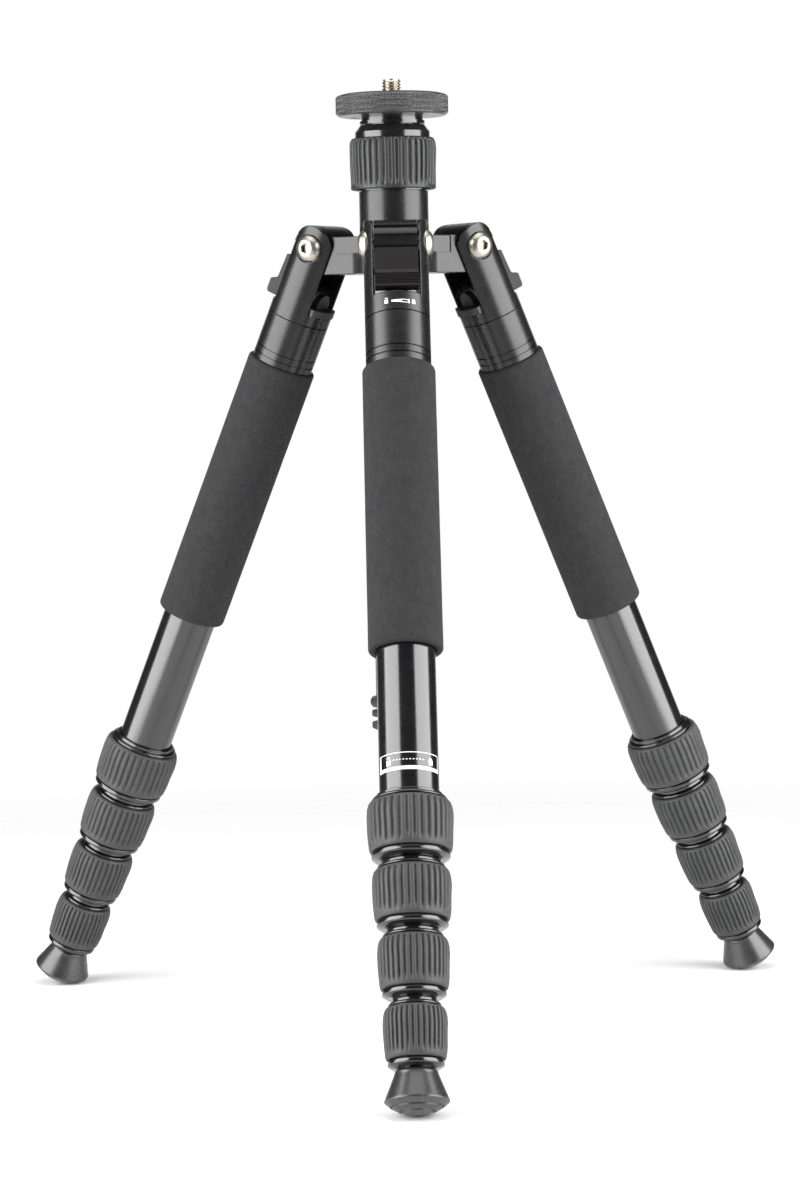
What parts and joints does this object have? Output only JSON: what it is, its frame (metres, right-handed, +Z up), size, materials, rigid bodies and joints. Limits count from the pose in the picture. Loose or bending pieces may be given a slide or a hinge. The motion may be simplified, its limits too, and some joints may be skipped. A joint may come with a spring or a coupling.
{
  "type": "travel tripod",
  "caption": "Compact travel tripod with a knurled screw plate on a clamped centre column and folding telescopic legs with twist locks, foam grips and rubber feet.",
  "frame": {"origin": "on the floor, at the middle of the rectangle that the three feet stand in", "axes": "+Z up along the centre column, front leg towards -Y, the other two legs towards +Y and to both sides; the X = 0 plane is the plane of symmetry"},
  "size_m": [0.4074, 0.357, 0.4805],
  "materials": {
    "black_anodised": "satin black anodised",
    "gloss_black": "gloss black",
    "satin_black": "satin black powder coat",
    "stainless": "bright turned",
    "black_rubber": "matt",
    "foam": "matt closed-cell foam",
    "black_plastic": "matt moulded",
    "latch_plastic": "matt moulded"
  },
  "bodies": {
    "spider": {"spider": "satin_black", "column_bush": "black_plastic", "column_collet": "black_plastic"},
    "column_lock": {"column_lock_nut": "gloss_black", "column_lock_grip": "black_rubber"},
    "column": {"column_tube": "gloss_black", "column_head": "gloss_black", "column_cap": "black_plastic", "head_plate": "black_anodised", "head_screw": "stainless", "head_set_screw": "gloss_black"},
    "front_leg": {"front_shoulder": "satin_black", "front_hinge_bolts": "stainless", "front_latch_seat": "black_plastic"},
    "front_monopod": {"front_collar": "satin_black", "front_foam_grip": "foam", "front_tube_1": "gloss_black"},
    "front_latch": {"front_latch": "latch_plastic"},
    "front_lock_1": {"front_lock_1": "black_rubber"},
    "front_section_2": {"front_tube_2": "gloss_black"},
    "front_lock_2": {"front_lock_2": "black_rubber"},
    "front_section_3": {"front_tube_3": "gloss_black"},
    "front_lock_3": {"front_lock_3": "black_rubber"},
    "front_section_4": {"front_tube_4": "gloss_black"},
    "front_lock_4": {"front_lock_4": "black_rubber"},
    "front_section_5": {"front_tube_5": "gloss_black", "front_foot": "black_rubber"},
    "left_leg": {"left_shoulder": "satin_black", "left_hinge_bolts": "stainless", "left_latch_seat": "black_plastic", "left_collar": "satin_black", "left_foam_grip": "foam", "left_tube_1": "gloss_black"},
    "left_latch": {"left_latch": "latch_plastic"},
    "left_lock_1": {"left_lock_1": "black_rubber"},
    "left_section_2": {"left_tube_2": "gloss_black"},
    "left_lock_2": {"left_lock_2": "black_rubber"},
    "left_section_3": {"left_tube_3": "gloss_black"},
    "left_lock_3": {"left_lock_3": "black_rubber"},
    "left_section_4": {"left_tube_4": "gloss_black"},
    "left_lock_4": {"left_lock_4": "black_rubber"},
    "left_section_5": {"left_tube_5": "gloss_black", "left_foot": "black_rubber"},
    "right_leg": {"right_shoulder": "satin_black", "right_hinge_bolts": "stainless", "right_latch_seat": "black_plastic", "right_collar": "satin_black", "right_foam_grip": "foam", "right_tube_1": "gloss_black"},
    "right_latch": {"right_latch": "latch_plastic"},
    "right_lock_1": {"right_lock_1": "black_rubber"},
    "right_section_2": {"right_tube_2": "gloss_black"},
    "right_lock_2": {"right_lock_2": "black_rubber"},
    "right_section_3": {"right_tube_3": "gloss_black"},
    "right_lock_3": {"right_lock_3": "black_rubber"},
    "right_section_4": {"right_tube_4": "gloss_black"},
    "right_lock_4": {"right_lock_4": "black_rubber"},
    "right_section_5": {"right_tube_5": "gloss_black", "right_foot": "black_rubber"}
  },
  "joints": [
    {"name": "column_lift", "type": "slide", "parent": "spider", "child": "column", "axis": [0, 0, 1], "range_m": [0, 0.214]},
    {"name": "column_lock_twist", "type": "hinge", "parent": "spider", "child": "column_lock", "pos_m": [0, 0.05426, 0.438], "axis": [0, 0, 1], "range_deg": [0, 90]},
    {"name": "front_leg_fold", "type": "hinge", "parent": "spider", "child": "front_leg", "pos_m": [0, 0.01246, 0.3964], "axis": [-1, 0, 0], "range_deg": [-24.5, 150.5]},
    {"name": "front_latch_press", "type": "hinge", "parent": "front_leg", "child": "front_latch", "pos_m": [0, -0.00316, 0.38264], "axis": [1, 0, 0], "range_deg": [0, 12], "stiffness_Nm_per_rad": 0.15, "springref_deg": -8.59},
    {"name": "front_monopod_release", "type": "slide", "parent": "front_leg", "child": "front_monopod", "axis": [0, -0.4147, -0.91], "range_m": [0, 0.014]},
    {"name": "front_lock_1_twist", "type": "hinge", "parent": "front_monopod", "child": "front_lock_1", "pos_m": [0, -0.11195, 0.12341], "axis": [0, -0.4147, -0.91], "range_deg": [0, 90]},
    {"name": "front_section_2_slide", "type": "slide", "parent": "front_monopod", "child": "front_section_2", "axis": [0, -0.4147, -0.91], "range_m": [0, 0.22]},
    {"name": "front_lock_2_twist", "type": "hinge", "parent": "front_section_2", "child": "front_lock_2", "pos_m": [0, -0.12534, 0.09402], "axis": [0, -0.4147, -0.91], "range_deg": [0, 90]},
    {"name": "front_section_3_slide", "type": "slide", "parent": "front_section_2", "child": "front_section_3", "axis": [0, -0.4147, -0.91], "range_m": [0, 0.22]},
    {"name": "front_lock_3_twist", "type": "hinge", "parent": "front_section_3", "child": "front_lock_3", "pos_m": [0, -0.13874, 0.06463], "axis": [0, -0.4147, -0.91], "range_deg": [0, 90]},
    {"name": "front_section_4_slide", "type": "slide", "parent": "front_section_3", "child": "front_section_4", "axis": [0, -0.4147, -0.91], "range_m": [0, 0.22]},
    {"name": "front_lock_4_twist", "type": "hinge", "parent": "front_section_4", "child": "front_lock_4", "pos_m": [0, -0.15213, 0.03524], "axis": [0, -0.4147, -0.91], "range_deg": [0, 90]},
    {"name": "front_section_5_slide", "type": "slide", "parent": "front_section_4", "child": "front_section_5", "axis": [0, -0.4147, -0.91], "range_m": [0, 0.22]},
    {"name": "left_leg_fold", "type": "hinge", "parent": "spider", "child": "left_leg", "pos_m": [-0.0362, 0.07516, 0.3964], "axis": [0.5, 0.866, 0], "range_deg": [-24.5, 150.5]},
    {"name": "left_latch_press", "type": "hinge", "parent": "left_leg", "child": "left_latch", "pos_m": [-0.04972, 0.08296, 0.38264], "axis": [-0.5, -0.866, 0], "range_deg": [0, 12], "stiffness_Nm_per_rad": 0.15, "springref_deg": -8.59},
    {"name": "left_lock_1_twist", "type": "hinge", "parent": "left_leg", "child": "left_lock_1", "pos_m": [-0.14394, 0.13736, 0.12341], "axis": [-0.3591, 0.2073, -0.91], "range_deg": [0, 90]},
    {"name": "left_section_2_slide", "type": "slide", "parent": "left_leg", "child": "left_section_2", "axis": [-0.3591, 0.2073, -0.91], "range_m": [0, 0.22]},
    {"name": "left_lock_2_twist", "type": "hinge", "parent": "left_section_2", "child": "left_lock_2", "pos_m": [-0.15554, 0.14406, 0.09402], "axis": [-0.3591, 0.2073, -0.91], "range_deg": [0, 90]},
    {"name": "left_section_3_slide", "type": "slide", "parent": "left_section_2", "child": "left_section_3", "axis": [-0.3591, 0.2073, -0.91], "range_m": [0, 0.22]},
    {"name": "left_lock_3_twist", "type": "hinge", "parent": "left_section_3", "child": "left_lock_3", "pos_m": [-0.16714, 0.15076, 0.06463], "axis": [-0.3591, 0.2073, -0.91], "range_deg": [0, 90]},
    {"name": "left_section_4_slide", "type": "slide", "parent": "left_section_3", "child": "left_section_4", "axis": [-0.3591, 0.2073, -0.91], "range_m": [0, 0.22]},
    {"name": "left_lock_4_twist", "type": "hinge", "parent": "left_section_4", "child": "left_lock_4", "pos_m": [-0.17874, 0.15745, 0.03524], "axis": [-0.3591, 0.2073, -0.91], "range_deg": [0, 90]},
    {"name": "left_section_5_slide", "type": "slide", "parent": "left_section_4", "child": "left_section_5", "axis": [-0.3591, 0.2073, -0.91], "range_m": [0, 0.22]},
    {"name": "right_leg_fold", "type": "hinge", "parent": "spider", "child": "right_leg", "pos_m": [0.0362, 0.07516, 0.3964], "axis": [0.5, -0.866, 0], "range_deg": [-24.5, 150.5]},
    {"name": "right_latch_press", "type": "hinge", "parent": "right_leg", "child": "right_latch", "pos_m": [0.04972, 0.08296, 0.38264], "axis": [-0.5, 0.866, 0], "range_deg": [0, 12], "stiffness_Nm_per_rad": 0.15, "springref_deg": -8.59},
    {"name": "right_lock_1_twist", "type": "hinge", "parent": "right_leg", "child": "right_lock_1", "pos_m": [0.14394, 0.13736, 0.12341], "axis": [0.3591, 0.2073, -0.91], "range_deg": [0, 90]},
    {"name": "right_section_2_slide", "type": "slide", "parent": "right_leg", "child": "right_section_2", "axis": [0.3591, 0.2073, -0.91], "range_m": [0, 0.22]},
    {"name": "right_lock_2_twist", "type": "hinge", "parent": "right_section_2", "child": "right_lock_2", "pos_m": [0.15554, 0.14406, 0.09402], "axis": [0.3591, 0.2073, -0.91], "range_deg": [0, 90]},
    {"name": "right_section_3_slide", "type": "slide", "parent": "right_section_2", "child": "right_section_3", "axis": [0.3591, 0.2073, -0.91], "range_m": [0, 0.22]},
    {"name": "right_lock_3_twist", "type": "hinge", "parent": "right_section_3", "child": "right_lock_3", "pos_m": [0.16714, 0.15076, 0.06463], "axis": [0.3591, 0.2073, -0.91], "range_deg": [0, 90]},
    {"name": "right_section_4_slide", "type": "slide", "parent": "right_section_3", "child": "right_section_4", "axis": [0.3591, 0.2073, -0.91], "range_m": [0, 0.22]},
    {"name": "right_lock_4_twist", "type": "hinge", "parent": "right_section_4", "child": "right_lock_4", "pos_m": [0.17874, 0.15745, 0.03524], "axis": [0.3591, 0.2073, -0.91], "range_deg": [0, 90]},
    {"name": "right_section_5_slide", "type": "slide", "parent": "right_section_4", "child": "right_section_5", "axis": [0.3591, 0.2073, -0.91], "range_m": [0, 0.22]}
  ]
}
